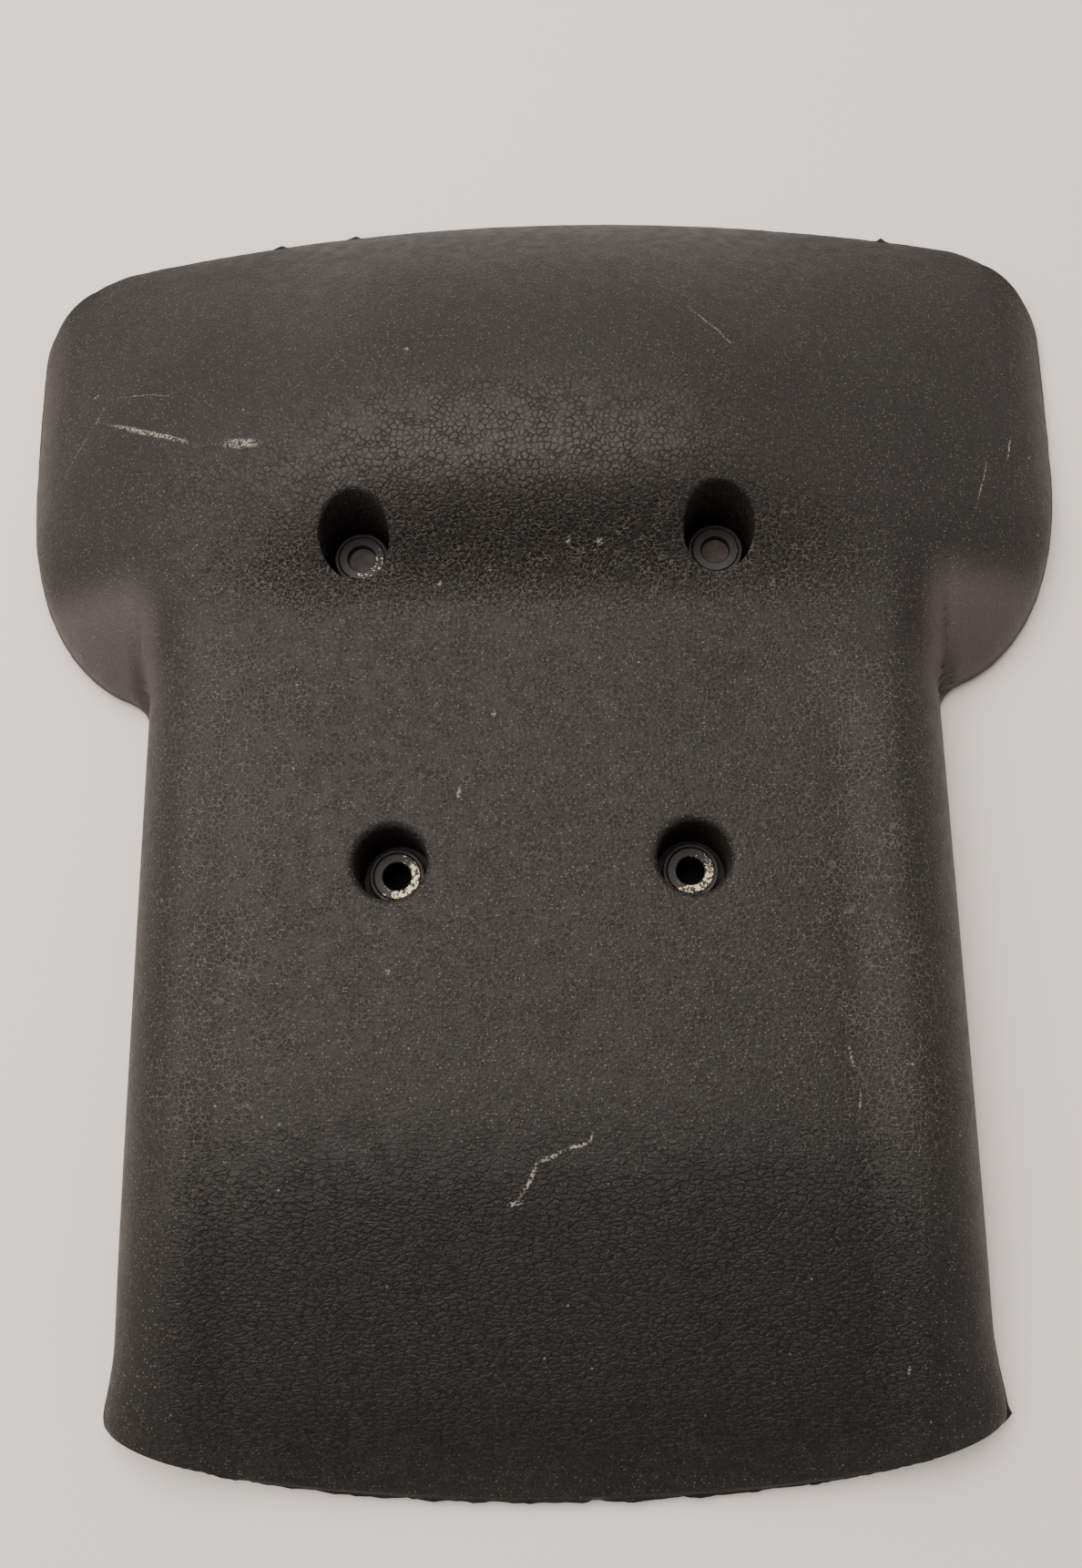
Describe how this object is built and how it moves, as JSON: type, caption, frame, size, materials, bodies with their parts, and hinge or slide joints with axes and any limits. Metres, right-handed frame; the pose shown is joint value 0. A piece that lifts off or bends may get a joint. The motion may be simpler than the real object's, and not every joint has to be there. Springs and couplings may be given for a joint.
{
  "type": "chair headrest attachment",
  "caption": "Moulded urethane headrest pad with a wide head roll and a flat lower panel, screwed to the back of an office chair through recessed steel sleeves.",
  "frame": {"origin": "under the middle of the outline, on the plane that the pad's rim rests on", "axes": "+Z out of the rear face, from which the screws go in; +Y up the chair, towards the top of the head roll; +X to the right seen from behind the chair"},
  "size_m": [0.332, 0.404, 0.0606],
  "materials": {
    "pad_skin": "leather-grained integral skin, satin",
    "carrier_nylon": "black moulded glass-filled nylon",
    "armature_steel": "zinc-plated pressed steel",
    "sleeve_paint": "black paint over steel, scratched by screw heads",
    "seal_board": "smooth grey disc"
  },
  "bodies": {
    "root": {"urethane_pad": "pad_skin", "carrier_plate": "carrier_nylon", "head_armature": "armature_steel", "armature_rivets": "armature_steel", "upper_left_sleeve": "sleeve_paint", "upper_right_sleeve": "sleeve_paint", "lower_left_sleeve": "sleeve_paint", "lower_right_sleeve": "sleeve_paint", "upper_left_bore_seal": "seal_board", "upper_right_bore_seal": "seal_board"}
  },
  "joints": []
}
